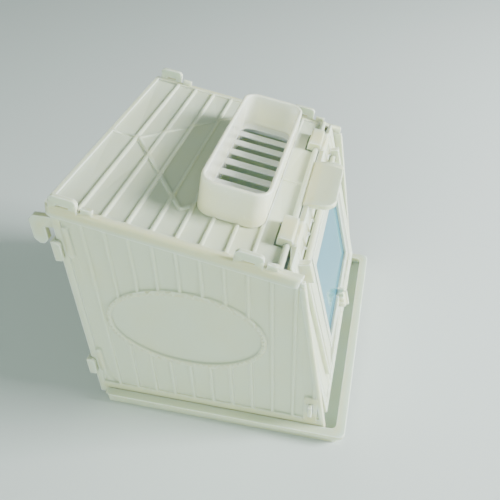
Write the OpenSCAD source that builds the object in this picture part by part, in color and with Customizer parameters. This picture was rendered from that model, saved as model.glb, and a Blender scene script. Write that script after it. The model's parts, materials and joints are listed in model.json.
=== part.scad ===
// Hanging nest box for small parrots, moulded as ribbed panels that clip together.
// Millimetres. The box stands on its tray, the front faces -Y and the hooks are at the back, +Y.
// Depths are written as u, counted forward from the back edge of the side panels.

/* [Body] */
// Width over the two side panels
body_w = 140; // [132:1:160]
// Height of the roof's top plane over the table, at the back edge of the side panels
back_h = 129.5; // [126:0.5:144]
// Height of the roof's top plane over the table, at the front end of the roof
front_h = 106; // [104:0.5:108]
// Depth of the roof's top plane, from the back edge to its front end
top_d = 112.5; // [110:0.5:116]
// Depth of the side panels at the height of the tray's rim
base_d = 126.5; // [125:0.5:128]
// Thickness of the moulded sheets
wall = 2; // [1.6:0.1:2.2]

/* [Ribs] */
// Height of the plank ribs, and half their width at the foot
rib_r = 1.1; // [0.8:0.1:1.3]
// Spacing of the ribs on the side panels and the back panel
rib_pitch = 10.7; // [9:0.1:14]
// Spacing of the ribs on the roof and the front panel
roof_pitch = 11.15; // [9.5:0.05:12]
// Half width of the raised diamond on the roof
diamond_w = 47; // [30:1:60]

/* [Oval ring] */
// Length of the raised oval on each side panel
oval_l = 81.4; // [60:0.2:90]
// Height of the raised oval
oval_h = 50.8; // [36:0.2:60]
// Width of the oval's raised ring
oval_band = 2.5; // [1.5:0.1:4]
// Depth of the oval's centre
oval_u = 55.7; // [50:0.1:60]
// Height of the oval's centre over the table
oval_z = 62.5; // [50:0.5:68]

/* [Hooks and lugs] */
// Clear gap behind the back edge, for the bar that the box hangs on
hook_gap = 4.4; // [4.2:0.1:6]
// Width of the hook's hanging plate
hook_w = 7.2; // [6:0.1:10]
// Length of the hook's hanging plate
hook_l = 15.5; // [14:0.5:24]
// Thickness of the hook
hook_t = 3; // [2.4:0.1:4]
// Height of each lug of the back panel
lug_h = 11; // [9:0.5:15]
// Thickness of each lug
lug_t = 2; // [1.6:0.1:2.6]

/* [Entrance] */
// Diameter of the round entrance in the back panel
hole_d = 50; // [36:1:60]
// Height of the entrance's centre over the table
hole_z = 74.5; // [55:0.5:80]

/* [Roof] */
// How far the roof's rim stands out past a side panel
rim_over = 1.2; // [0.9:0.1:2]
// Depth of the rim's skirt below the roof's top plane
rim_drop = 5.5; // [5:0.5:7]
// Radius of the round front bead that the front panel hangs on
bead_r = 1.5; // [1.3:0.1:1.8]
// Distance of the bead's axis down the roof, from the back edge
bead_v = 104; // [103.5:0.1:104.2]
// Length of each latch tab that stands on the rim
tab_l = 13; // [9:0.5:14]
// Height of each latch tab
tab_h = 6.2; // [5:0.1:12]
// Distance of the back latch tabs' middle down the roof
tab_back = 7.7; // [7.5:0.1:12]
// Distance of the front latch tabs' middle down the roof
tab_front = 90.7; // [80:0.1:92]

/* [Roof basket] */
// Length of the basket across the roof
basket_l = 93; // [70:1:98]
// Width of the basket down the roof
basket_w = 33; // [26:0.5:34]
// Height of the basket's wall over the roof's top plane
basket_h = 18; // [10:0.5:30]
// Thickness of the basket's wall
basket_t = 2.4; // [1.8:0.1:3]
// Distance of the basket's middle down the roof
basket_v = 75; // [70:0.5:75]
// Spacing of the slots in the basket's floor
slot_pitch = 10; // [8:0.5:14]
// Width of the slots
slot_w = 5; // [3:0.1:6]

/* [Tray] */
// Width over the tray's rim
tray_w = 150.2; // [149.4:0.2:162]
// Height of the tray's rim over the table
tray_h = 6.5; // [6.3:0.1:7.5]
// Depth of the tray's front edge
tray_front = 137.3; // [136:0.1:150]
// Thickness of the tray's rim
lip_t = 2.5; // [1.6:0.1:2.5]
// Thickness of the tray's floor
floor_t = 1.6; // [1.2:0.1:1.6]

/* [Front panel] */
// Lean of the front panel from upright, its foot outwards
front_lean = 12; // [11.5:0.1:12.5]
// Height of the front panel's foot over the table
front_z = 13.5; // [13:0.1:14]
// Depth of the front panel's foot
front_u = 125.5; // [125:0.1:126.5]
// Width of each clip that holds the bead
clip_w = 17.5; // [12:0.5:20]
// Distance of each clip's middle from the middle of the box
clip_x = 43.4; // [36:0.1:50]
// Width of the thumb tab
thumb_w = 41; // [30:1:46]
// How far the thumb tab reaches out from the bead's axis
thumb_l = 17.5; // [12:0.5:22]

/* [Window door] */
// Width of the door's frame
door_w = 100; // [90:1:104]
// Width of the window in the door
pane_w = 77; // [60:1:80]
// Height of the window in the door
pane_h = 53.5; // [40:0.5:55]
// Width of the door's bottom bar, which carries the latch
door_bar = 11.5; // [10:0.5:13]
// Thickness of the door's frame
door_t = 2.2; // [2:0.1:2.6]
// Radius of the door's hinge pins
pin_r = 1.2; // [1:0.1:1.5]

/* [Latch] */
// Diameter of the latch knob
knob_d = 11; // [9:0.5:12]
// Length of the latch knob
knob_l = 5; // [4:0.2:9]
// Number of finger grooves round the knob
knob_flutes = 10; // [6:1:12]
// Radius of the spindle
spindle_r = 2.5; // [2:0.1:2.8]
// Length of the cam
cam_l = 13; // [11:0.5:15]
// Width of the cam
cam_w = 6.4; // [5.8:0.1:6.8]

/* [Fits] */
// Gap between pieces that seat on each other
seat = 0.2; // [0.1:0.05:0.3]
// Gap between pieces that slide or swing past each other
run = 0.4; // [0.3:0.05:0.5]
// Radial clearance of a pin or a bead in its bore
pin_fit = 0.06; // [0.02:0.01:0.1]

/* [Hidden] */
$fn = 48;
cream = "#eceddc";
pane_blue = "#bcd3de";
knob_cream = "#dfe3d0";
eps = 0.01;

// Places along the box's depth
back_y = (tray_front - hook_gap - hook_w) / 2;
tray_back = 5;
sill_h = 2.1;

// Slopes of the roof and of the side panels' front edge
slope = atan((back_h - front_h) / top_d);
lean = atan((base_d - top_d) / (front_h - tray_h));
roof_len = top_d / cos(slope);

// Side panels
rim_edge = 3.5;
foot_h = 1.6;
panel_z = floor_t + run;
cross_z = floor_t + sill_h + run;
sheet_x = body_w / 2 - rib_r;
inner_x = sheet_x - wall;
under = rib_r + wall;
drop = (under + seat) / cos(slope);
top_u = (base_d - (back_h - drop - tray_h) * tan(lean)) / (1 - tan(slope) * tan(lean));
rib_first = 13.1;
rib_foot = 4.4;
lug_down = 24.7;
lug_up = 18.5;
lug_z = [back_h - lug_down, tray_h + lug_up];
lug_reach = 2.2;
lug_back = 2;
stop_w = 3;
stop_h = lug_h + 6.5;
hook_top = back_h - rim_drop - 1.8;
hook_arm = 5.8;
pad_w = 7;
pad_h = 20;

// Roof
over_back = 1.7;
rim_in = body_w / 2 - 3;
rim_out = body_w / 2 + rim_over;
rim_r = 1.8;
rim_corner = 4;
bead_n = bead_r - 1.3;
bead_u = bead_v * cos(slope) + bead_n * sin(slope);
bead_z = back_h - bead_v * sin(slope) + bead_n * cos(slope);
clip_r = bead_r + pin_fit;
clip_back = 4.9;
clip_front = 2.3;
clip_top = 3.7;
clip_swing = norm([clip_back - 0.3, clip_top - 0.3]);
window_reach = sqrt(pow(clip_swing, 2) - pow(bead_n + rib_r, 2)) + 0.3;
slit_x = clip_x + clip_w / 2 + 0.5;
slit_w = 2.2;
tab_t = 2;
hood_h = 2.6;
basket_r = 8;
seat_edge = 2;
basket_floor = 0.8;

// Tray
pan_x = body_w / 2 + 2.2;
rail_x = body_w / 2 + run;
pan_front = tray_front - 4.9;
pan_wall = 1.8;
lip_r = 4;
rail_z = panel_z + foot_h + run;
sill_half = body_w / 2 - rib_r - wall - 2 * run;

// Front panel, in its own frame: out along the panel's normal, up along the panel
panel_half = inner_x - 0.6;
face_out = 0.5;
face_in = face_out - wall;
bead_out = (bead_u - front_u) * cos(front_lean) + (bead_z - front_z) * sin(front_lean);
bead_up = (front_u - bead_u) * sin(front_lean) + (bead_z - front_z) * cos(front_lean);
panel_top = bead_up - 0.5;
thumb_t = 2.4;
front_rib = 1;
edge_band = 2.7;

// Window door
door_in = face_out + 0.3;
door_out = door_in + door_t;
door_foot = 12.5;
door_side = (door_w - pane_w) / 2;
pane_foot = door_foot + door_bar;
pane_top = pane_foot + pane_h;
hinge_r = 1.5;
hinge_out = door_in + hinge_r;
hinge_up = pane_top + 6.5;
ear_t = 3;
ear_out = 6;
ear_low = 6.6;
ear_high = 4.4;
pane_lap = 1.8;
pane_t = 1;
gate_lap = 0.6;

// Latch
latch_up = door_foot + door_bar / 2 + 1.2;
recess = 0.4;
cam_t = 1.8;
cam_gap = 0.3;

// Front sill
sill_u = 118.6;
sill_top = front_z + 2;
sill_ear = sill_top + 10;
post_w = 8;
tongue_z = sill_top + 4.5;
tongue_h = 7;

// Height of the roof's top plane at a depth
function roof_z(u) = back_h - u * tan(slope);

// Depth of the side panels' front edge at a height
function edge_u(z) = base_d - (z - tray_h) * tan(lean);

// Solid of a flat outline in depth and height, laid across the box from x0
module across(x0, len) {
    translate([x0, 0, 0])
        rotate([90, 0, 90])
            linear_extrude(len)
                translate([back_y, 0])
                    mirror([1, 0])
                        children();
}

// Rectangle with round corners, centred
module round_rect(l, w, r) {
    square([l - 2 * r, w], center = true);
    square([l, w - 2 * r], center = true);
    for (sx = [-1, 1], sy = [-1, 1])
        translate([sx * (l / 2 - r), sy * (w / 2 - r)])
            circle(r);
}

// The same children on both sides of the box
module both_sides() {
    children();
    mirror([1, 0, 0])
        children();
}

// Raised rib, straight up from the origin, with its crest towards +X
module rib(length, r) {
    linear_extrude(length)
        polygon([[-eps, -r], [0.68 * r, -0.82 * r], [r, -0.4 * r], [r, 0.4 * r], [0.68 * r, 0.82 * r], [-eps, r]]);
}

// Side panels

module side_outline() {
    polygon([[0, panel_z], [0, roof_z(0) - drop], [top_u, roof_z(top_u) - drop], [edge_u(panel_z), panel_z]]);
}

module oval(grow) {
    a = oval_l / 2 + grow;
    b = oval_h / 2 + grow;
    translate([oval_u, oval_z])
        polygon([for (k = [0:71]) [a * cos(5 * k), b * sin(5 * k)]]);
}

// Part of a side panel's outer face that lies below the roof's rim
module below_rim() {
    low = (rim_drop + run) / cos(slope);
    polygon([[-1, 0], [-1, roof_z(-1) - low], [base_d + 5, roof_z(base_d + 5) - low], [base_d + 5, 0]]);
}

module side_border() {
    intersection() {
        side_outline();
        below_rim();
        union() {
            square([rim_edge, back_h]);
            square([base_d + 5, tray_h + rib_foot]);
            polygon([[edge_u(0) - 2.5, 0], [edge_u(0) + 1, 0], [edge_u(back_h) + 1, back_h],
                [edge_u(back_h) - 2.5, back_h]]);
        }
    }
}

module side_ribs() {
    count = floor((edge_u(tray_h) - rib_first - 4) / rib_pitch);
    intersection() {
        for (k = [0:count])
            translate([sheet_x, back_y - rib_first - k * rib_pitch, panel_z])
                rib(back_h - panel_z, rib_r);
        across(sheet_x - wall / 2, wall + rib_r)
            difference() {
                intersection() {
                    side_outline();
                    below_rim();
                }
                oval(-oval_band / 2);
            }
    }
}

module hang_hook() {
    far = -hook_gap - hook_w;
    low = hook_top - hook_l;
    cut = 2.5;
    across(inner_x, hook_t)
        polygon([[rim_edge, hook_top], [far + cut, hook_top], [far, hook_top - cut], [far, low + cut],
            [far + cut, low], [-hook_gap - cut, low], [-hook_gap, low + cut], [-hook_gap, hook_top - hook_arm],
            [rim_edge, hook_top - hook_arm]]);
}

module side_panel() {
    color(cream)
        difference() {
            union() {
                across(inner_x, wall)
                    side_outline();
                across(sheet_x - eps, rib_r + eps)
                    side_border();
                side_ribs();
                across(sheet_x - eps, rib_r + 0.3 + eps)
                    difference() {
                        oval(0);
                        oval(-oval_band);
                    }
                // Stops beside the back panel's lugs
                for (z = lug_z)
                    across(sheet_x - eps, rib_r + 0.5 + eps)
                        translate([lug_reach + stop_w, z + 4])
                            round_rect(stop_w, stop_h, 1.4);
                // Pad round the front sill's tongue
                across(sheet_x - eps, rib_r + 0.5 + eps)
                    translate([sill_u, tongue_z - 2])
                        round_rect(pad_w, pad_h, 1.5);
                // Runner that carries the tray
                across(sheet_x - eps, rib_r + 1.7 + eps)
                    translate([rim_edge, panel_z])
                        square([edge_u(panel_z) - 2 * rim_edge, foot_h]);
                hang_hook();
            }
            across(inner_x - 1, 3 * wall + rib_r)
                translate([sill_u, tongue_z])
                    square([wall + 2 * seat, tongue_h + 2 * seat], center = true);
        }
}

module side_right() {
    side_panel();
}

module side_left() {
    mirror([1, 0, 0])
        side_panel();
}

// Back panel

module back_lug(z) {
    outer = body_w / 2 + run + lug_t;
    // Bar behind the side panel's back edge, rooted in the back panel
    translate([inner_x - 8, back_y + 0.5, z - lug_h / 2])
        cube([outer - inner_x + 8, lug_back - 0.5, lug_h]);
    translate([inner_x - 8, back_y - rib_r - seat - eps, z - lug_h / 2])
        cube([8 - seat, lug_back + rib_r + seat, lug_h]);
    // Leg that grips the outer face
    translate([body_w / 2 + run, 0, 0])
        rotate([90, 0, 90])
            linear_extrude(lug_t)
                translate([back_y + (lug_back - lug_reach) / 2, z])
                    round_rect(lug_back + lug_reach, lug_h, 1.8);
}

module back_panel() {
    half = inner_x - seat;
    face = back_y - rib_r - seat;
    top = roof_z(rib_r + seat + wall) - drop;
    rows = floor((half - 4) / rib_pitch);
    color(cream) {
        difference() {
            union() {
                translate([-half, face - wall, cross_z])
                    cube([2 * half, wall, top - cross_z]);
                for (k = [-rows:rows])
                    translate([k * rib_pitch, face, tray_h + rib_foot])
                        rotate(90)
                            rib(top - tray_h - rib_foot, rib_r);
                translate([0, face, hole_z])
                    rotate([-90, 0, 0])
                        cylinder(d = hole_d + 7, h = rib_r);
                translate([-half, face - eps, cross_z])
                    cube([2 * half, rib_r + eps, tray_h + rib_foot - cross_z]);
            }
            translate([0, back_y + 1, hole_z])
                rotate([90, 0, 0])
                    cylinder(d = hole_d, h = 4 * wall + 2);
        }
        both_sides()
            for (z = lug_z)
                back_lug(z);
    }
}

// Cross rail at the foot of the front

module front_sill() {
    half = inner_x - seat;
    lip = front_u + face_in * cos(front_lean) - (sill_top - front_z) * tan(front_lean) - 0.4;
    color(cream) {
        translate([0, back_y - sill_u + wall / 2, 0])
            rotate([90, 0, 0])
                linear_extrude(wall) {
                    translate([-half, cross_z])
                        square([2 * half, sill_top - cross_z]);
                    for (s = [-1, 1]) {
                        translate([s * (half - post_w / 2), (sill_ear + cross_z) / 2])
                            square([post_w, sill_ear - cross_z - 2], center = true);
                        translate([s * (half + wall + rib_r / 2 + seat), tongue_z])
                            square([2 * wall + rib_r + 4 * seat + 1.4, tongue_h], center = true);
                    }
                }
        // Lip that the front panel's foot closes against
        across(-half, 2 * half)
            translate([sill_u, sill_top - 1.6])
                square([lip - sill_u, 1.6]);
    }
}

// Roof, in its own frame: the origin is on the back edge, Y runs up the slope and Z is the roof's normal

module on_roof() {
    translate([0, back_y, back_h])
        rotate([slope, 0, 0])
            children();
}

module rim_section() {
    difference() {
        union() {
            translate([rim_in, -rim_drop])
                square([rim_out - rim_in, rim_drop - rim_r]);
            translate([rim_in, -rim_r - eps])
                square([rim_out - rim_in - rim_r, rim_r + eps]);
            translate([rim_out - rim_r, -rim_r])
                circle(rim_r);
        }
        translate([rim_in - 1, -rim_drop - 1])
            square([sheet_x + run - rim_in + 1, rim_drop + 1 - under]);
    }
}

module roof_rib(from, to) {
    span = to - from;
    translate([from[0], -from[1], -rib_r])
        rotate([90, 0, atan2(span[0], span[1])])
            rotate(90)
                rib(norm(span), rib_r);
}

module latch_tab(v) {
    translate([rim_out - tab_t - 0.2, -v, 0])
        rotate([90, 0, 90])
            linear_extrude(tab_t)
                difference() {
                    union() {
                        translate([0, (tab_h - 2) / 2])
                            round_rect(tab_l, tab_h + 2, 2.4);
                        translate([-tab_l / 2, -2])
                            square([tab_l, 4]);
                    }
                    translate([-3, 0.8])
                        square([6, 1]);
                }
    // Low lip next to the tab
    translate([rim_in + 1, -v - tab_l / 2 - 6.5, -1])
        cube([2, 5, hood_h + 1]);
}

module roof_field() {
    // Plank ribs
    for (k = [0:7])
        roof_rib([-rim_in, rib_first + k * roof_pitch], [rim_in, rib_first + k * roof_pitch]);
    // Diamond and its two spines
    tip = rib_first + 1.4;
    foot = rib_first + 7 * roof_pitch;
    mid = (tip + foot) / 2;
    for (s = [-1, 1]) {
        roof_rib([0, tip], [s * diamond_w, mid]);
        roof_rib([s * diamond_w, mid], [0, foot]);
    }
    roof_rib([0, -over_back + 1], [0, tip]);
    roof_rib([0, foot], [0, bead_v]);
}

module basket_plan(grow) {
    translate([0, -basket_v])
        round_rect(basket_l + 2 * grow, basket_w + 2 * grow, basket_r + grow);
}

module roof_panel() {
    color(cream)
        on_roof() {
            intersection() {
                union() {
                    both_sides()
                        translate([0, over_back, 0])
                            rotate([90, 0, 0])
                                linear_extrude(roof_len + over_back)
                                    rim_section();
                    difference() {
                        translate([-rim_in - 1, -bead_v, -under])
                            cube([2 * rim_in + 2, bead_v + over_back, wall]);
                        translate([0, 0, -under - 1])
                            linear_extrude(wall + 2)
                                basket_plan(-seat_edge);
                        // Windows that leave the bead free for the front panel's clips
                        both_sides()
                            translate([clip_x - clip_w / 2 - run, -bead_v - 1, -under - 1])
                                cube([clip_w + 2 * run, window_reach + 1, wall + 2]);
                    }
                    difference() {
                        roof_field();
                        translate([0, 0, -under])
                            linear_extrude(2 * under)
                                basket_plan(seat);
                    }
                    // Back edge
                    translate([-rim_in - 1, over_back - 2.2, -rib_r - eps])
                        cube([2 * rim_in + 2, 2.2, rib_r + eps]);
                    translate([-rim_in, 0.4, -under - 2])
                        cube([2 * rim_in, over_back - 0.4, 2 + eps]);
                }
                // Round corners in plan
                translate([0, (over_back - roof_len) / 2, -2 * rim_drop])
                    linear_extrude(3 * rim_drop)
                        round_rect(2 * rim_out, roof_len + over_back, rim_corner);
            }
            translate([-rim_in - 1, -bead_v, bead_n])
                rotate([0, 90, 0])
                    cylinder(r = bead_r, h = 2 * rim_in + 2);
            both_sides() {
                latch_tab(tab_back);
                latch_tab(tab_front);
            }
        }
}

// Slotted basket in the roof

module roof_basket() {
    inner = basket_l - 2 * basket_t;
    pairs = floor((inner / 2 - 6) / slot_pitch + 0.5 - slot_w / 2 / slot_pitch);
    span = (2 * pairs - 1) * slot_pitch + slot_w + 1;
    color(cream)
        on_roof()
            difference() {
                union() {
                    translate([0, 0, -rib_r])
                        linear_extrude(basket_h + rib_r)
                            basket_plan(0);
                    translate([0, 0, -under - 1])
                        linear_extrude(under + 1)
                            basket_plan(-seat_edge - seat);
                }
                translate([0, 0, basket_floor])
                    linear_extrude(basket_h)
                        basket_plan(-basket_t);
                translate([0, 0, -under - 2])
                    linear_extrude(under + 2 + basket_floor - 1.6)
                        basket_plan(-basket_t - seat_edge);
                // Slots across the floor, the end ones with round corners
                translate([0, 0, -under])
                    linear_extrude(2 * under)
                        intersection() {
                            translate([0, -basket_v])
                                round_rect(span, basket_w - 2 * basket_t - 2.4, 5);
                            for (k = [1 - pairs:pairs])
                                translate([(k - 0.5) * slot_pitch, -basket_v])
                                    square([slot_w + (abs(k - 0.5) > pairs - 1 ? 1 : 0), basket_w], center = true);
                        }
            }
}

// Tray

module tray_plan(grow_x, front, back, r) {
    translate([0, back_y - (front + back) / 2])
        round_rect(2 * grow_x, front - back, r);
}

module tray() {
    color(cream) {
        difference() {
            union() {
                linear_extrude(tray_h)
                    tray_plan(pan_x + pan_wall, pan_front + pan_wall, tray_back, lip_r - 1);
                translate([0, 0, tray_h - lip_t])
                    linear_extrude(lip_t)
                        tray_plan(tray_w / 2, tray_front, tray_back, lip_r);
            }
            // Pan, open at the back, and wider below the rim, where the side panels' runners ride
            translate([0, 0, floor_t])
                linear_extrude(rail_z - floor_t)
                    tray_plan(pan_x, pan_front, tray_back - 4, 1.5);
            translate([0, 0, floor_t + 1])
                linear_extrude(tray_h)
                    tray_plan(rail_x, pan_front, tray_back - 4, 3);
        }
        // Low sill at the back, which passes under the cross rail
        translate([-sill_half, back_y - tray_back - pan_wall, floor_t - eps])
            cube([2 * sill_half, pan_wall, sill_h + eps]);
    }
}

// Front panel and what it carries, in its own frame

module on_front() {
    translate([0, back_y - front_u, front_z])
        rotate([-front_lean, 0, 0])
            children();
}

// Solid of an outline across and up the panel, between two levels along the panel's normal
module face_slab(low, high) {
    translate([0, -low, 0])
        rotate([90, 0, 0])
            linear_extrude(high - low)
                children();
}

// Solid of an outline out and up in the panel's section, laid across it from x0
module section_slab(x0, len) {
    translate([x0, 0, 0])
        rotate([90, 0, 90])
            linear_extrude(len)
                mirror([1, 0])
                    children();
}

module door_footprint() {
    translate([-door_w / 2 - 1.4, door_foot - run])
        square([door_w + 2.8, hinge_up + hinge_r + 2 * run - door_foot]);
}

module clip_section() {
    difference() {
        union() {
            // Block over the bead, square with the roof
            translate([bead_out, bead_up])
                rotate(-front_lean - slope)
                    polygon([[-clip_back, -0.6], [-clip_back, clip_top - 1], [-clip_back + 0.3, clip_top - 0.3],
                        [-clip_back + 1, clip_top], [clip_front - 1, clip_top], [clip_front - 0.3, clip_top - 0.3],
                        [clip_front, clip_top - 1], [clip_front, 0], [2, -1.4], [-2, -0.6]]);
            // Web down to the front panel
            translate([bead_out + bead_r - 0.4, panel_top - 2])
                square([face_out + front_rib - bead_out - bead_r + 0.4, 3.4]);
        }
        translate([bead_out, bead_up])
            circle(clip_r);
        // Mouth of the clip, below and behind the bead
        translate([bead_out, bead_up])
            rotate(-front_lean - slope)
                polygon([[0, 0], [-6 * cos(20), -6 * sin(20)], [-6, -6], [6 * cos(52), -6 * sin(52) - 0.4],
                    [6 * cos(52), -6 * sin(52)]]);
    }
}

module thumb_tab() {
    z_top = bead_z + bead_r + 0.2;
    web_top = (z_top - front_z - face_out * sin(front_lean)) / cos(front_lean) - 0.3;
    u_in = bead_u + bead_r + run + 1;
    reach = thumb_l - (u_in - bead_u);
    section_slab(-thumb_w / 2 + 0.1, thumb_w - 0.2)
        translate([face_in, panel_top - 3])
            square([wall, web_top - panel_top + 3]);
    // The tab itself lies level
    rotate([front_lean, 0, 0])
        translate([0, front_u - u_in, z_top - thumb_t - front_z])
            linear_extrude(thumb_t)
                intersection() {
                    translate([0, 3 - reach / 2])
                        round_rect(thumb_w, reach + 6, 6);
                    translate([-thumb_w, -2 * thumb_l])
                        square([2 * thumb_w, 2 * thumb_l]);
                }
}

module front_ribs() {
    rows = floor((panel_half - 5) / roof_pitch);
    difference() {
        union() {
            for (k = [0:rows], s = [-1, 1])
                translate([s * (k + 0.5) * roof_pitch, -face_out, edge_band / 2])
                    rotate(-90)
                        rib(panel_top - edge_band, front_rib);
            face_slab(face_out - eps, face_out + front_rib)
                difference() {
                    translate([-panel_half, 0])
                        square([2 * panel_half, panel_top]);
                    translate([-panel_half + edge_band, edge_band])
                        square([2 * panel_half - 2 * edge_band, panel_top - 2 * edge_band]);
                }
        }
        face_slab(face_out, face_out + 9)
            door_footprint();
    }
}

module door_ear() {
    section_slab(door_w / 2 + run, ear_t)
        difference() {
            translate([0, hinge_up - ear_low])
                polygon([[0, 0], [ear_out - 0.8, 0], [ear_out, 0.8], [ear_out, ear_low + ear_high - 0.8],
                    [ear_out - 0.8, ear_low + ear_high], [0, ear_low + ear_high]]);
            translate([hinge_out, hinge_up])
                circle(pin_r + pin_fit);
        }
}

module front_panel() {
    gate_w = cam_w + 2 * (cam_gap + 0.4);
    color(cream)
        on_front() {
            difference() {
                union() {
                    face_slab(face_in, face_out)
                        translate([-panel_half, 0])
                            square([2 * panel_half, panel_top]);
                    front_ribs();
                }
                // Window and the notch that the latch's cam passes through
                face_slab(face_in - 1, face_out + 1) {
                    translate([-pane_w / 2 + gate_lap, pane_foot + gate_lap])
                        square([pane_w - 2 * gate_lap, pane_h - 2 * gate_lap]);
                    translate([-gate_w / 2, latch_up - cam_l / 2 - 0.5])
                        square([gate_w, cam_l + 4]);
                }
                // Slit beside the bead, which widens towards the rim
                both_sides()
                    translate([0, 0, panel_top - 2.2])
                        linear_extrude(5)
                            polygon([[slit_x, -face_in], [panel_half + 1, -face_in - slit_w],
                                [panel_half + 1, -face_in + 1], [slit_x, -face_in + 1]]);
            }
            both_sides() {
                section_slab(clip_x - clip_w / 2, clip_w)
                    clip_section();
                door_ear();
            }
            thumb_tab();
        }
}

// Window door

module door_frame() {
    half = door_w / 2;
    color(cream)
        on_front()
            difference() {
                union() {
                    face_slab(door_in, door_out)
                        translate([-half, door_foot])
                            square([door_w, hinge_up - door_foot]);
                    translate([-half, -hinge_out, hinge_up])
                        rotate([0, 90, 0])
                            cylinder(r = hinge_r, h = door_w);
                    translate([-half - run - ear_t + 0.2, -hinge_out, hinge_up])
                        rotate([0, 90, 0])
                            cylinder(r = pin_r, h = door_w + 2 * (run + ear_t - 0.2));
                    // Round pad under the knob
                    face_slab(door_in, door_out)
                        translate([0, latch_up])
                            circle(d = knob_d + 2.8);
                }
                face_slab(door_in - 1, door_out + 1)
                    translate([-pane_w / 2, pane_foot])
                        square([pane_w, pane_h]);
                // Seat of the pane, from behind
                face_slab(door_in - 1, door_in + pane_t + 0.2)
                    translate([-pane_w / 2 - pane_lap, pane_foot - pane_lap])
                        square([pane_w + 2 * pane_lap, pane_h + 2 * pane_lap]);
                face_slab(door_out - recess, door_out + 1)
                    translate([0, latch_up])
                        circle(d = knob_d + 2 * run);
                face_slab(door_in - 1, door_out + 1)
                    translate([0, latch_up])
                        circle(spindle_r + pin_fit);
            }
}

module window_pane() {
    lap = pane_lap - seat;
    color(pane_blue)
        on_front()
            face_slab(door_in + 0.1, door_in + 0.1 + pane_t)
                translate([-pane_w / 2 - lap, pane_foot - lap])
                    square([pane_w + 2 * lap, pane_h + 2 * lap]);
}

// Latch: the knob outside, and the spindle with its cam behind the front panel

module latch_knob() {
    foot = door_out - recess + seat;
    dome = 1.4;
    color(knob_cream)
        on_front()
            translate([0, 0, latch_up])
                rotate([90, 0, 0])
                    translate([0, 0, foot])
                        difference() {
                            union() {
                                rotate_extrude()
                                    polygon([[0, 0], [knob_d / 2 - 0.5, 0], [knob_d / 2, 0.5],
                                        [knob_d / 2, knob_l - dome - 0.6], [knob_d / 2 - 0.7, knob_l - dome],
                                        [knob_d / 2 - 1.6, knob_l - dome + 0.3], [0, knob_l - dome + 0.5]]);
                                translate([-0.9, -knob_d / 2 + 0.9, knob_l - dome - 0.5])
                                    cube([1.8, knob_d - 1.8, dome + 0.5]);
                            }
                            for (k = [0:knob_flutes - 1])
                                rotate((k + 0.5) * 360 / knob_flutes)
                                    translate([knob_d / 2 + 0.7, 0, -1])
                                        cylinder(r = 1.4, h = knob_l + 2);
                            // Socket for the spindle
                            translate([0, 0, -1])
                                cylinder(r = spindle_r - 0.7 + seat / 2, h = 3.4);
                        }
}

module latch_cam() {
    foot = door_out - recess + seat;
    back = face_in - cam_gap;
    color(knob_cream)
        on_front()
            translate([0, 0, latch_up])
                rotate([90, 0, 0]) {
                    translate([0, 0, back - eps])
                        cylinder(r = spindle_r, h = foot - back);
                    translate([0, 0, back])
                        cylinder(r = spindle_r - 0.7, h = foot - back + 2);
                    translate([0, 0, back - cam_t])
                        linear_extrude(cam_t) {
                            square([cam_w, cam_l - cam_w], center = true);
                            for (s = [-1, 1])
                                translate([0, s * (cam_l - cam_w) / 2])
                                    circle(d = cam_w);
                        }
                }
}

side_left();
side_right();
back_panel();
front_sill();
roof_panel();
roof_basket();
tray();
front_panel();
door_frame();
window_pane();
latch_knob();
latch_cam();
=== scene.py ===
import json
from math import atan, cos, pi, radians, sin

import bmesh
import bpy
from bpy.props import FloatProperty, FloatVectorProperty, IntProperty, PointerProperty
from bpy.types import Operator, Panel, PropertyGroup
from mathutils import Matrix, Vector


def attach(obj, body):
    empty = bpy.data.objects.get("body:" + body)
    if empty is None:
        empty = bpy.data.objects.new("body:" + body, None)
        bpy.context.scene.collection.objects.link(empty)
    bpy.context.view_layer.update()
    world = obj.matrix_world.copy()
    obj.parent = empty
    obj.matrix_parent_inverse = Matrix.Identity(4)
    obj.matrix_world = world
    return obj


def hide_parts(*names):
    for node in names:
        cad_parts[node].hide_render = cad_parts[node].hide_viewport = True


bl_info = {
    "name": "Hanging nest box",
    "version": (1, 0, 0),
    "blender": (4, 5, 0),
    "location": "View3D > Sidebar > Nest Box",
    "description": "Moulded plastic nest box with a roof basket, a hinged front, "
                   "a window door and a pull-out tray",
    "category": "Object",
}

MM = 0.001

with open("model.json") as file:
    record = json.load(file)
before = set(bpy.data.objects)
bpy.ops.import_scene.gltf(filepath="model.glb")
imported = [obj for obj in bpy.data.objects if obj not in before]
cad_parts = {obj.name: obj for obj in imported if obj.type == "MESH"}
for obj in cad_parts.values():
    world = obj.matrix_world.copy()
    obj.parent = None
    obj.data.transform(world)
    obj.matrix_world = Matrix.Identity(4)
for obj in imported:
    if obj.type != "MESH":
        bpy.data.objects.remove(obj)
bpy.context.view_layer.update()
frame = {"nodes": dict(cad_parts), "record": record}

# The front panel leans outwards at its foot, which is at this depth and height. What
# goes on it is made upright first: x across, -y off the panel and z up it.
FRONT_LEAN = radians(12)
FRONT_FOOT = (0, -62.65 * MM, 13.5 * MM)
# The roof falls from its back edge towards the front. What goes on it is made level
# first: x across, -y down the slope and z off it.
ROOF_SLOPE = atan(23.5 / 112.5)
ROOF_BACK = (0, 62.85 * MM, 129.5 * MM)

# Corners of a CAD node that are closer than this are one corner
MERGE_BELOW = 0.002 * MM
# Faces that meet at less than this angle are one round face
SMOOTH_BELOW = radians(30)

# The sizes of the pieces, from here to the stage, are in millimetres. A piece's
# settings, further down, hold theirs in metres, as Blender does.

# Basket: its middle down the roof, and its plan
BASKET_Y = -75
BASKET_LENGTH, BASKET_WIDTH, BASKET_CORNER = 93, 33, 8
# Its heights off the roof. The spigot is the foot that drops into the roof's opening.
RIM_TOP = 18.0
FLOOR_TOP, FLOOR_UNDERSIDE = 0.8, 0.0
WALL_FOOT = -1.1
SPIGOT_END = -4.1
SPIGOT_STEP, SPIGOT_WALL = 2.2, 1.6
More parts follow.
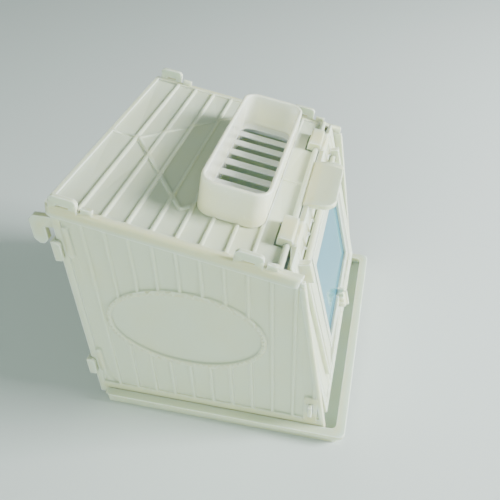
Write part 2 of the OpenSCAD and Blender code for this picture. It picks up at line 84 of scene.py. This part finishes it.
# The mould's draft: the inside at the floor, as a part of the inside at the rim
FLOOR_DRAFT = (0.991, 0.972, 1)
WALL_FOOT_ROUND, FLOOR_FILLET = 1.2, 0.7
# The field of slots in its floor, and the cutters' middle and heights
SLOTS_LENGTH, SLOTS_WIDTH, SLOTS_CORNER = 76, 27.4, 5
CUT_MIDDLE, SLOTS_CUT, BARS_CUT = -1, 5, 8
BARS_REACH = 40

# Front panel, as (middle), (size): the collar beside the door, which runs up into the
# ear, and the cap that closes the ear's hole
COLLAR = (51.1, -1.6, 45.75), (1.4, 2.8, 66.5)
EAR_CAP = (53.68, -3, 82.9), (0.84, 5.6, 10.6)
# Rectangles up the front panel are (half width, foot, top), and levels are off it.
# The gap above the door's barrel
BARREL_GAP, BARREL_GAP_LEVELS = (50.2, 86.2, 87.8), (0.05, 9)
# Door: the raised border round the window, and the step along the door's sides and
# foot, which is open at the top
BORDER_OUTSIDE, BORDER_INSIDE = (40, 20.6, 80.6), (36.7, 24, 73.8)
BORDER_LEVELS = (2.0, 3.7)
STEP_OUTSIDE, STEP_INSIDE = (52, 10, 79), (49.0, 13.5, 90)
STEP_LEVELS = (1.1, 4)
# Room for the knob in the border: its height up the panel, radius, middle and depth
LATCH_UP = 19.45
KNOB_ROOM_RADIUS, KNOB_ROOM_LEVEL, KNOB_ROOM_DEPTH = 5.9, 4.6, 4

# Stage, in metres and watts. The lamps face the middle of the box.
FLOOR_SIDE, FLOOR_DROP = 6, 0.5 * MM
LAMP_TARGET = Vector((0, 0, 70 * MM))
LAMPS = (
    # name, place, side, power, colour
    ("key", (0.12, -1.18, 0.56), 0.4, 40.0, "#f7fffc"),
    ("front", (0.35, -1.3, 0.2), 0.6, 11.0, "#f7fffc"),
    ("fill", (-1.25, -0.1, 0.4), 1.0, 13.5, "#e6fcea"))
SKY_COLOUR, SKY_STRENGTH = "#def7ea", 0.38
GLOW_PLACE, GLOW_RADIUS = (0, -5 * MM, 62 * MM), 20 * MM
GLOW_COLOUR, GLOW_POWER = "#c6efff", 0.016
# A lens's focal length is for a frame this wide, in millimetres
SENSOR_WIDTH = 36


def linear(hex_colour):
    """Linear RGB of an sRGB hex colour such as #e8e6d4."""
    channels = [int(hex_colour[k:k + 2], 16) / 255 for k in (1, 3, 5)]
    return tuple(c / 12.92 if c <= 0.04045 else ((c + 0.055) / 1.055) ** 2.4
                 for c in channels)


# Settings that a user would change

class FinishSettings(PropertyGroup):
    """Colours of the box, and the rounding of its edges"""
    panel_colour: FloatVectorProperty(
        name="Panels", description="Colour of the ribbed panels in full light",
        subtype="COLOR", size=3, min=0, max=1, default=linear("#d6dfd3"))
    warm_colour: FloatVectorProperty(
        name="Thick spots", description="Warmer colour where the plastic is thick",
        subtype="COLOR", size=3, min=0, max=1, default=linear("#e4d89c"))
    tray_colour: FloatVectorProperty(
        name="Tray", description="Colour of the tray",
        subtype="COLOR", size=3, min=0, max=1, default=linear("#d3e3de"))
    # The basket's paler colour is painted light: it stands for the light that shines
    # through its thin walls
    basket_colour: FloatVectorProperty(
        name="Basket", description="Colour of the roof basket, whose thin walls glow",
        subtype="COLOR", size=3, min=0, max=1, default=linear("#f6f7f0"))
    window_colour: FloatVectorProperty(
        name="Window", description="Tint of the clear window",
        subtype="COLOR", size=3, min=0, max=1, default=linear("#4f94ac"))
    knob_colour: FloatVectorProperty(
        name="Knob", description="Colour of the latch knob",
        subtype="COLOR", size=3, min=0, max=1, default=linear("#dfe6d2"))
    edge_round: FloatProperty(
        name="Edge radius", description="Rounding that a mould leaves on every edge",
        subtype="DISTANCE", unit="LENGTH", min=0, max=0.002, default=0.35 * MM)


class BasketSettings(PropertyGroup):
    """Walls and floor of the roof basket"""
    wall: FloatProperty(
        name="Wall", description="Thickness of the basket's walls at the rim",
        subtype="DISTANCE", unit="LENGTH", min=0.0015, max=0.003, default=2.0 * MM)
    rim_round: FloatProperty(
        name="Rim radius", description="Rounding of the basket's rim",
        subtype="DISTANCE", unit="LENGTH", min=0.0001, max=0.001, default=0.9 * MM)
    bars: IntProperty(
        name="Bars", description="Bars between the slots in the basket's floor",
        min=1, max=7, default=7)
    bar_spacing: FloatProperty(
        name="Bar spacing", description="From the middle of one bar to that of the next",
        subtype="DISTANCE", unit="LENGTH", min=0.006, max=0.011, default=10 * MM)
    bar_width: FloatProperty(
        name="Bar width", description="Width of each bar of the basket's floor",
        subtype="DISTANCE", unit="LENGTH", min=0.001, max=0.005, default=4.6 * MM)


class StageSettings(PropertyGroup):
    """Floor and camera"""
    floor_colour: FloatVectorProperty(
        name="Floor", description="Colour of the plain floor",
        subtype="COLOR", size=3, min=0, max=1, default=linear("#dfe3e4"))
    camera_place: FloatVectorProperty(
        name="Camera", description="Place of the camera",
        subtype="XYZ", unit="LENGTH", size=3, default=(-0.24959, -0.07382, 0.26816))
    azimuth: FloatProperty(
        name="Azimuth",
        description="Direction of the camera round the box, 0 in front of it",
        subtype="ANGLE", unit="ROTATION", default=radians(-75.365))
    elevation: FloatProperty(
        name="Elevation", description="Angle of the camera's view below level",
        subtype="ANGLE", unit="ROTATION", default=radians(38.889))
    roll: FloatProperty(
        name="Roll", description="Turn of the camera about its line of sight",
        subtype="ANGLE", unit="ROTATION", default=radians(-1.958))
    lens: FloatProperty(
        name="Lens", description="Focal length for a frame 36 mm wide",
        subtype="DISTANCE_CAMERA", min=10, max=200, default=41.786)


# Nodes and materials

def add_node(tree, kind, inputs=None, **settings):
    """New shader node with its settings, its input values and the sockets that feed it."""
    node = tree.nodes.new(kind)
    for name, value in settings.items():
        setattr(node, name, value)
    for name, value in (inputs or {}).items():
        if isinstance(value, bpy.types.NodeSocket):
            tree.links.new(value, node.inputs[name])
        else:
            node.inputs[name].default_value = value
    return node


def rgba(colour):
    """Colour with full opacity, as a shader's socket takes it."""
    return (*colour, 1.0)


def empty_material(name):
    """New material without nodes."""
    material = bpy.data.materials.new(name)
    material.use_nodes = True
    material.node_tree.nodes.clear()
    return material


def moulded_polypropylene(name, pale, warm, rough, depth, edge):
    """Injection-moulded polypropylene: milky, a little translucent, with a matt grain.

    Thick places look warmer, ribs and edges carry a painted highlight, and the surface is
    never quite flat.
    Light spreads in it over a depth in millimetres, so its shadows look soft.
    """
    tree = empty_material(name).node_tree
    place = add_node(tree, "ShaderNodeTexCoord").outputs["Object"]
    # Where the wall is thicker than about 4 mm, the milky plastic turns to ivory
    thickness = add_node(tree, "ShaderNodeAmbientOcclusion", {
        "Distance": 4.5 * MM}, samples=4, inside=True, only_local=True)
    thick = add_node(tree, "ShaderNodeMapRange", {
        "Value": thickness.outputs["AO"],
        "From Min": 0.12, "From Max": 0.7, "To Min": 0.0, "To Max": 0.9})
    # Uneven melt, a few centimetres across
    cloud = add_node(tree, "ShaderNodeTexNoise", {
        "Vector": place, "Scale": 1 / (34 * MM), "Detail": 2.0, "Roughness": 0.55})
    cloud_range = add_node(tree, "ShaderNodeMapRange", {
        "Value": cloud.outputs["Fac"],
        "From Min": 0.4, "From Max": 0.75, "To Min": 0.0, "To Max": 0.3})
    warmth = add_node(tree, "ShaderNodeMath", {
        0: thick.outputs["Result"], 1: cloud_range.outputs["Result"]}, operation="MAXIMUM")
    tone = add_node(tree, "ShaderNodeMix", {
        "Factor": warmth.outputs["Value"], "A": rgba(pale), "B": rgba(warm)},
        data_type="RGBA")
    # Painted highlight: ribs and edges, where the rounded normal leaves the face's own,
    # are painted whiter than the sheet between them
    soft = add_node(tree, "ShaderNodeBevel", {"Radius": 1.1 * MM}, samples=6)
    face = add_node(tree, "ShaderNodeNewGeometry")
    same = add_node(tree, "ShaderNodeVectorMath", {
        0: soft.outputs["Normal"], 1: face.outputs["Normal"]}, operation="DOT_PRODUCT")
    painted_highlight = add_node(tree, "ShaderNodeMapRange", {
        "Value": same.outputs["Value"],
        "From Min": 0.99, "From Max": 0.75, "To Min": 0.0, "To Max": 0.95})
    lit = add_node(tree, "ShaderNodeMix", {
        "Factor": painted_highlight.outputs["Result"], "A": tone.outputs["Result"],
        "B": rgba(linear("#fdfef8"))}, data_type="RGBA")
    # Handling marks change the gloss, about 6 mm across
    smudge = add_node(tree, "ShaderNodeTexNoise", {
        "Vector": place, "Scale": 1 / (6 * MM), "Detail": 3.0, "Roughness": 0.6})
    gloss = add_node(tree, "ShaderNodeMapRange", {
        "Value": smudge.outputs["Fac"], "From Min": 0.3, "From Max": 0.7,
        "To Min": rough - 0.06, "To Max": rough + 0.08})
    # Mould grain: real grit is about 0.05 mm, drawn at 0.5 mm so that it shows
    grain = add_node(tree, "ShaderNodeTexNoise", {
        "Vector": place, "Scale": 1 / (0.5 * MM), "Detail": 2.0, "Roughness": 0.5})
    # Shallow sinks, about 14 mm across, that cooling leaves in a moulded sheet
    sink = add_node(tree, "ShaderNodeTexNoise", {
        "Vector": place, "Scale": 1 / (14 * MM), "Detail": 1.0, "Roughness": 0.4})
    rounded = add_node(tree, "ShaderNodeBevel", {"Radius": edge}, samples=4)
    sunk = add_node(tree, "ShaderNodeBump", {
        "Height": sink.outputs["Fac"], "Strength": 0.22, "Distance": 0.5 * MM,
        "Normal": rounded.outputs["Normal"]})
    grained = add_node(tree, "ShaderNodeBump", {
        "Height": grain.outputs["Fac"], "Strength": 0.10, "Distance": 0.1 * MM,
        "Normal": sunk.outputs["Normal"]})
    plastic = add_node(tree, "ShaderNodeBsdfPrincipled", {
        "Base Color": lit.outputs["Result"], "Roughness": gloss.outputs["Result"],
        "IOR": 1.49, "Subsurface Weight": 1.0, "Subsurface Radius": (1.0, 1.0, 0.85),
        "Subsurface Scale": depth * MM, "Normal": grained.outputs["Normal"]})
    add_node(tree, "ShaderNodeOutputMaterial", {"Surface": plastic.outputs["BSDF"]})


def clear_polystyrene(name, tint, edge):
    """Clear, pale blue polystyrene plate: glossy, with faint ripples from the mould."""
    tree = empty_material(name).node_tree
    place = add_node(tree, "ShaderNodeTexCoord").outputs["Object"]
    # Ripples of the melt, about 22 mm across, bend the reflections
    ripple = add_node(tree, "ShaderNodeTexNoise", {
        "Vector": place, "Scale": 1 / (22 * MM), "Detail": 1.0, "Roughness": 0.3})
    # Fine scuffs, about 3 mm across, dull the gloss in places
    scuff = add_node(tree, "ShaderNodeTexNoise", {
        "Vector": place, "Scale": 1 / (3 * MM), "Detail": 4.0, "Roughness": 0.7})
    haze = add_node(tree, "ShaderNodeMapRange", {
        "Value": scuff.outputs["Fac"],
        "From Min": 0.4, "From Max": 0.75, "To Min": 0.02, "To Max": 0.06})
    rounded = add_node(tree, "ShaderNodeBevel", {"Radius": edge}, samples=4)
    rippled = add_node(tree, "ShaderNodeBump", {
        "Height": ripple.outputs["Fac"], "Strength": 0.12, "Distance": 0.4 * MM,
        "Normal": rounded.outputs["Normal"]})
    # Polystyrene's own IOR is 1.59. This one is higher and its reflection is tinted,
    # so that the pane is the even grey-blue of the real one and hides the nest.
    plate = add_node(tree, "ShaderNodeBsdfPrincipled", {
        "Base Color": rgba(tint), "Roughness": haze.outputs["Result"], "IOR": 3.0,
        "Transmission Weight": 0.25, "Specular Tint": rgba(linear("#cef1ff")),
        "Normal": rippled.outputs["Normal"]})
    add_node(tree, "ShaderNodeOutputMaterial", {"Surface": plate.outputs["BSDF"]})


def finishes():
    """The six finishes of the box, made once and found by name after that."""
    look = bpy.context.scene.nest_box_finish
    plastics = (
        # finish, material, colour, roughness, how deep light spreads in millimetres
        # Semi-matt mould: broad soft highlights on the ribs
        ("panels", "Cream polypropylene", look.panel_colour, 0.34, 2.2),
        # Polished mould: the door mirrors the knob and looks crisp, less milky
        ("plate", "Polished cream polypropylene", look.panel_colour, 0.12, 0.9),
        # Thin walls with light on both sides: the basket's colour is painted nearly white
        # for the light that shines through them
        ("basket", "Thin cream polypropylene", look.basket_colour, 0.20, 3.0),
        # Spark-eroded mould: the tray is the mattest piece, with hardly any highlight
        ("tray", "Tray polypropylene", look.tray_colour, 0.46, 2.2),
        # Semi-matt like the panels, and a little paler
        ("knob", "Knob polypropylene", look.knob_colour, 0.36, 2.2))
    window = "Clear polystyrene"
    if window not in bpy.data.materials:
        for _, name, colour, rough, depth in plastics:
            moulded_polypropylene(
                name, colour, look.warm_colour, rough, depth, look.edge_round)
        clear_polystyrene(window, look.window_colour, look.edge_round)
    made = {finish: bpy.data.materials[name] for finish, name, *_ in plastics}
    return {**made, "window": bpy.data.materials[window]}


# Pieces

def dress(node, finish):
    """Gives a CAD node its finish."""
    mesh = frame["nodes"][node].data
    mesh.materials.clear()
    mesh.materials.append(finishes()[finish])


def body_of(node):
    """Name of the body that a CAD node rides on."""
    bodies = frame["record"]["behaviour"]["bodies"]
    return next(name for name, nodes in bodies.items() if node in nodes)


def make_active(piece):
    """Selects one piece alone and makes it the active one."""
    bpy.ops.object.select_all(action="DESELECT")
    piece.select_set(True)
    bpy.context.view_layer.objects.active = piece


def bare_copy(node, name):
    """Merged copy of a CAD node, with its corners joined up, as the active object."""
    piece = bpy.data.objects.new(name, frame["nodes"][node].data.copy())
    bpy.context.scene.collection.objects.link(piece)
    make_active(piece)
    bpy.ops.object.mode_set(mode="EDIT")
    bpy.ops.mesh.select_all(action="SELECT")
    bpy.ops.mesh.remove_doubles(threshold=MERGE_BELOW)
    bpy.ops.object.mode_set(mode="OBJECT")
    return piece


def smooth_faces(piece):
    """Shades the round faces smooth and keeps edges crisp for the shader's rounding."""
    make_active(piece)
    bpy.ops.object.shade_smooth_by_angle(angle=SMOOTH_BELOW)
    # The larger face rules at each corner, so flat faces stay flat to the eye
    even = piece.modifiers.new("Even normals", "WEIGHTED_NORMAL")
    even.mode = "FACE_AREA"
    even.keep_sharp = True
    bpy.ops.object.modifier_apply(modifier=even.name)


def stand_for(piece, node, finish):
    """Puts a finished piece in the place of its CAD node."""
    piece.data.materials.clear()
    piece.data.materials.append(finishes()[finish])
    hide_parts(node)
    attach(piece, body_of(node))


def mould(node, finish):
    """Puts a merged, smooth copy of a CAD node in its place."""
    piece = bare_copy(node, node + "_moulded")
    smooth_faces(piece)
    stand_for(piece, node, finish)


def carve(piece, tool, operation):
    """Adds a tool's solid to a piece or takes it away, and deletes the tool."""
    make_active(piece)
    cut = piece.modifiers.new("Carve", "BOOLEAN")
    cut.operation = operation
    cut.solver = "EXACT"
    cut.object = tool
    bpy.ops.object.modifier_apply(modifier=cut.name)
    bpy.data.objects.remove(tool)


def settle(piece, place, turn=(0, 0, 0)):
    """Moves and turns a piece through its mesh, so that its object stays at the origin."""
    make_active(piece)
    piece.location = place
    piece.rotation_euler = turn
    bpy.ops.object.transform_apply(location=True, rotation=True, scale=True)


def to_front(piece):
    """Leans a piece that was made upright into the front panel's plane."""
    settle(piece, FRONT_FOOT, (-FRONT_LEAN, 0, 0))


def block(middle, size):
    """Block with its middle and size in millimetres, as the active object."""
    bpy.ops.object.select_all(action="DESELECT")
    bpy.ops.mesh.primitive_cube_add(
        size=1, location=[v * MM for v in middle], scale=[v * MM for v in size])
    bpy.ops.object.transform_apply(location=True, rotation=True, scale=True)
    return bpy.context.object


def front_block(rectangle, levels):
    """Block on the front panel, over a rectangle and between two levels."""
    half, foot, top = rectangle
    low, high = levels
    return block(
        (0, -(low + high) / 2, (foot + top) / 2), (2 * half, high - low, top - foot))


def front_ring(outside, inside, levels):
    """Ring on the front panel, between two rectangles."""
    low, high = levels
    ring = front_block(outside, levels)
    # The cutter reaches 1 mm past both levels
    carve(ring, front_block(inside, (low - 1, high + 1)), "DIFFERENCE")
    return ring


def pick(piece, domain, wanted):
    """In edit mode, selects only the faces or edges for which the test holds."""
    bpy.ops.object.mode_set(mode="EDIT")
    bpy.ops.mesh.select_mode(type="FACE" if domain == "faces" else "EDGE")
    bpy.ops.mesh.select_all(action="DESELECT")
    mesh = bmesh.from_edit_mesh(piece.data)
    found = [item for item in getattr(mesh, domain) if wanted(item)]
    if not found:
        raise RuntimeError(f"{piece.name}: none of its {domain} is the one wanted")
    for item in found:
        item.select_set(True)
    bmesh.update_edit_mesh(piece.data)


def upright(edge):
    """Whether an edge of a block stands upright."""
    one, other = (corner.co for corner in edge.verts)
    return abs(one.z - other.z) > MM


def looks_up(face):
    """Whether a face looks up."""
    return face.normal.z > 0.9


def looks_down(face):
    """Whether a face looks down."""
    return face.normal.z < -0.9


def round_corners(piece, radius, segments):
    """Rounds a block's four upright edges by a radius in millimetres."""
    pick(piece, "edges", upright)
    bpy.ops.mesh.bevel(offset=radius * MM, segments=segments, affect="EDGES")


# Operators

class NESTBOX_OT_panels(Operator):
    """Finish the ribbed panels of the shell"""
    bl_idname = "nestbox.panels"
    bl_label = "Panels"

    def execute(self, context):
        for node in ("side_left", "side_right", "back_panel", "front_sill", "roof_panel"):
            mould(node, "panels")
        return {"FINISHED"}


class NESTBOX_OT_basket(Operator):
    """Add the slotted basket in the roof"""
    bl_idname = "nestbox.basket"
    bl_label = "Basket"

    def execute(self, context):
        sizes = context.scene.nest_box_basket
        basket = self.add_shell(sizes.wall)
        self.round_walls(basket, sizes.rim_round)
        carve(basket, self.add_slots(sizes), "DIFFERENCE")
        smooth_faces(basket)
        settle(basket, ROOF_BACK, (ROOF_SLOPE, 0, 0))
        stand_for(basket, "roof_basket", "basket")
        return {"FINISHED"}

    def add_shell(self, wall):
        """Open basket with a spigot under its floor, level and with sharp edges."""
        basket = block(
            (0, BASKET_Y, (RIM_TOP + WALL_FOOT) / 2),
            (BASKET_LENGTH, BASKET_WIDTH, RIM_TOP - WALL_FOOT))
        basket.name = "roof_basket_moulded"
        round_corners(basket, BASKET_CORNER, segments=9)
        # Inside, a little narrower at the floor
        pick(basket, "faces", looks_up)
        bpy.ops.mesh.inset(thickness=wall)
        self.extrude_up(FLOOR_TOP - RIM_TOP)
        bpy.ops.transform.resize(value=FLOOR_DRAFT)
        # Spigot, hollow from below
        pick(basket, "faces", looks_down)
        bpy.ops.mesh.inset(thickness=SPIGOT_STEP * MM)
        self.extrude_up(SPIGOT_END - WALL_FOOT)
        bpy.ops.mesh.inset(thickness=SPIGOT_WALL * MM)
        self.extrude_up(FLOOR_UNDERSIDE - SPIGOT_END)
        bpy.ops.object.mode_set(mode="OBJECT")
        return basket

    def extrude_up(self, height):
        """Extrudes the selected faces up by this many millimetres, or down if below 0."""
        bpy.ops.mesh.extrude_region_move(
            TRANSFORM_OT_translate={"value": (0, 0, height * MM)})

    def round_walls(self, basket, rim_round):
        """Rounds the rim and the foot of the walls, and adds a fillet round the floor."""
        for height, radius in (
                (RIM_TOP, rim_round), (WALL_FOOT, WALL_FOOT_ROUND * MM),
                (FLOOR_TOP, FLOOR_FILLET * MM)):
            pick(basket, "edges", lambda edge: self.at_wall(edge, height * MM))
            bpy.ops.mesh.bevel(offset=radius, segments=4, affect="EDGES")
        bpy.ops.object.mode_set(mode="OBJECT")

    def at_wall(self, edge, height):
        """Whether an edge lies level at this height and ends a wall of the basket."""
        level = all(abs(corner.co.z - height) < 0.05 * MM for corner in edge.verts)
        return level and any(
            abs(face.normal.z) < 0.2 and face.calc_center_median().z > 0
            for face in edge.link_faces)

    def add_slots(self, sizes):
        """Cutter for the slots: one field with round corners, less the bars."""
        field = block((0, BASKET_Y, CUT_MIDDLE), (SLOTS_LENGTH, SLOTS_WIDTH, SLOTS_CUT))
        round_corners(field, SLOTS_CORNER, segments=7)
        bpy.ops.object.mode_set(mode="OBJECT")
        first = -sizes.bar_spacing * (sizes.bars - 1) / 2
        bar = block(
            (first / MM, BASKET_Y, CUT_MIDDLE),
            (sizes.bar_width / MM, BARS_REACH, BARS_CUT))
        bars = [bar] + [
            self.copied(bar, k * sizes.bar_spacing) for k in range(1, sizes.bars)]
        for bar in bars:
            carve(field, bar, "DIFFERENCE")
        return field

    def copied(self, bar, shift):
        """Copy of a bar with its own mesh, moved along the basket."""
        twin = bpy.data.objects.new("bar", bar.data.copy())
        bpy.context.scene.collection.objects.link(twin)
        settle(twin, (shift, 0, 0))
        return twin


class NESTBOX_OT_tray(Operator):
    """Finish the pull-out tray"""
    bl_idname = "nestbox.tray"
    bl_label = "Tray"

    def execute(self, context):
        mould("tray", "tray")
        return {"FINISHED"}


class NESTBOX_OT_flap(Operator):
    """Finish the hinged front panel, with collars beside the door and closed ear holes"""
    bl_idname = "nestbox.flap"
    bl_label = "Front panel"

    def execute(self, context):
        flap = bare_copy("front_panel", "front_panel_moulded")
        for side in (-1, 1):
            for (across, off, up), size in (COLLAR, EAR_CAP):
                trim = block((side * across, off, up), size)
                to_front(trim)
                carve(flap, trim, "UNION")
        # Gap above the door's barrel, wide enough to show as a dark line
        gap = front_block(BARREL_GAP, BARREL_GAP_LEVELS)
        to_front(gap)
        carve(flap, gap, "DIFFERENCE")
        smooth_faces(flap)
        stand_for(flap, "front_panel", "panels")
        return {"FINISHED"}


class NESTBOX_OT_door(Operator):
    """Finish the window door, with a raised border and a step outside it"""
    bl_idname = "nestbox.door"
    bl_label = "Window door"

    def execute(self, context):
        door = bare_copy("door_frame", "door_frame_moulded")
        border = front_ring(BORDER_OUTSIDE, BORDER_INSIDE, BORDER_LEVELS)
        # The border leaves room for the knob
        bpy.ops.object.select_all(action="DESELECT")
        bpy.ops.mesh.primitive_cylinder_add(
            vertices=72, radius=KNOB_ROOM_RADIUS * MM, depth=KNOB_ROOM_DEPTH * MM,
            location=(0, -KNOB_ROOM_LEVEL * MM, LATCH_UP * MM), rotation=(pi / 2, 0, 0))
        bpy.ops.object.transform_apply(location=True, rotation=True, scale=True)
        carve(border, bpy.context.object, "DIFFERENCE")
        step = front_ring(STEP_OUTSIDE, STEP_INSIDE, STEP_LEVELS)
        to_front(border)
        to_front(step)
        carve(door, border, "UNION")
        carve(door, step, "DIFFERENCE")
        smooth_faces(door)
        stand_for(door, "door_frame", "plate")
        dress("window_pane", "window")
        return {"FINISHED"}


class NESTBOX_OT_latch(Operator):
    """Finish the latch's knob and cam"""
    bl_idname = "nestbox.latch"
    bl_label = "Latch"

    def execute(self, context):
        mould("latch_knob", "knob")
        dress("latch_cam", "knob")
        return {"FINISHED"}


class NESTBOX_OT_stage(Operator):
    """Add the floor, the soft studio light and the camera"""
    bl_idname = "nestbox.stage"
    bl_label = "Stage"

    def execute(self, context):
        stage = context.scene.nest_box_stage
        self.add_floor(stage)
        self.add_lights(context)
        self.add_camera(context, stage)
        return {"FINISHED"}

    def add_floor(self, stage):
        """Plain floor, just under the tray."""
        bpy.ops.object.select_all(action="DESELECT")
        bpy.ops.mesh.primitive_plane_add(size=FLOOR_SIDE, location=(0, 0, -FLOOR_DROP))
        floor = bpy.context.object
        floor.name = "floor"
        material = bpy.data.materials.new("Pale floor")
        material.use_nodes = True
        paper = material.node_tree.nodes["Principled BSDF"]
        paper.inputs["Base Color"].default_value = rgba(stage.floor_colour)
        paper.inputs["Roughness"].default_value = 0.8
        floor.data.materials.append(material)

    def add_lights(self, context):
        """Even sky, three soft lamps and a weak one inside the box."""
        world = bpy.data.worlds.new("Soft studio")
        world.use_nodes = True
        sky = world.node_tree.nodes["Background"]
        sky.inputs["Color"].default_value = rgba(linear(SKY_COLOUR))
        sky.inputs["Strength"].default_value = SKY_STRENGTH
        context.scene.world = world
        for name, place, side, power, colour in LAMPS:
            bpy.ops.object.light_add(type="AREA", location=place)
            lamp = context.object
            lamp.name = name
            lamp.data.size = side
            lamp.data.energy = power
            lamp.data.color = linear(colour)
            aim = LAMP_TARGET - Vector(place)
            lamp.rotation_euler = aim.to_track_quat("-Z", "Y").to_euler()
        # What the milky walls let through to the inside
        bpy.ops.object.light_add(type="POINT", location=GLOW_PLACE)
        glow = context.object
        glow.name = "glow"
        glow.data.energy = GLOW_POWER
        glow.data.shadow_soft_size = GLOW_RADIUS
        glow.data.color = linear(GLOW_COLOUR)
        glow.visible_glossy = False

    def add_camera(self, context, stage):
        """Camera at its place, turned by azimuth, elevation and roll."""
        bpy.ops.object.camera_add(location=stage.camera_place)
        camera = context.object
        camera.data.sensor_width = SENSOR_WIDTH
        camera.data.lens = stage.lens
        camera.data.clip_start = 10 * MM
        level = cos(stage.elevation)
        behind = Vector((
            sin(stage.azimuth) * level, -cos(stage.azimuth) * level, sin(stage.elevation)))
        right = (-behind).cross(Vector((0, 0, 1))).normalized()
        up = right.cross(-behind)
        turned_right = cos(stage.roll) * right + sin(stage.roll) * up
        turned_up = cos(stage.roll) * up - sin(stage.roll) * right
        axes = Matrix((turned_right, turned_up, behind)).transposed()
        camera.rotation_euler = axes.to_euler()
        context.scene.camera = camera


class NESTBOX_PT_sidebar(Panel):
    """Lists the nest box's pieces and settings"""
    bl_idname = "NESTBOX_PT_sidebar"
    bl_label = "Nest Box"
    bl_space_type = "VIEW_3D"
    bl_region_type = "UI"
    bl_category = "Nest Box"

    def draw(self, context):
        for step in STEPS:
            self.layout.operator(step.bl_idname)
        for group in SETTINGS:
            settings = getattr(context.scene, group)
            for name in settings.bl_rna.properties.keys():
                if name not in ("rna_type", "name"):
                    self.layout.prop(settings, name)


SETTINGS = {
    "nest_box_finish": FinishSettings,
    "nest_box_basket": BasketSettings,
    "nest_box_stage": StageSettings,
}
STEPS = (
    NESTBOX_OT_panels, NESTBOX_OT_basket, NESTBOX_OT_tray, NESTBOX_OT_flap,
    NESTBOX_OT_door, NESTBOX_OT_latch, NESTBOX_OT_stage)
CLASSES = (*SETTINGS.values(), *STEPS, NESTBOX_PT_sidebar)


def register():
    for cls in CLASSES:
        bpy.utils.register_class(cls)
    for name, group in SETTINGS.items():
        setattr(bpy.types.Scene, name, PointerProperty(type=group))


def unregister():
    for name in SETTINGS:
        delattr(bpy.types.Scene, name)
    for cls in reversed(CLASSES):
        bpy.utils.unregister_class(cls)


def main():
    register()
    for step in STEPS:
        group, name = step.bl_idname.split(".")
        getattr(getattr(bpy.ops, group), name)()


if __name__ == "__main__":
    main()
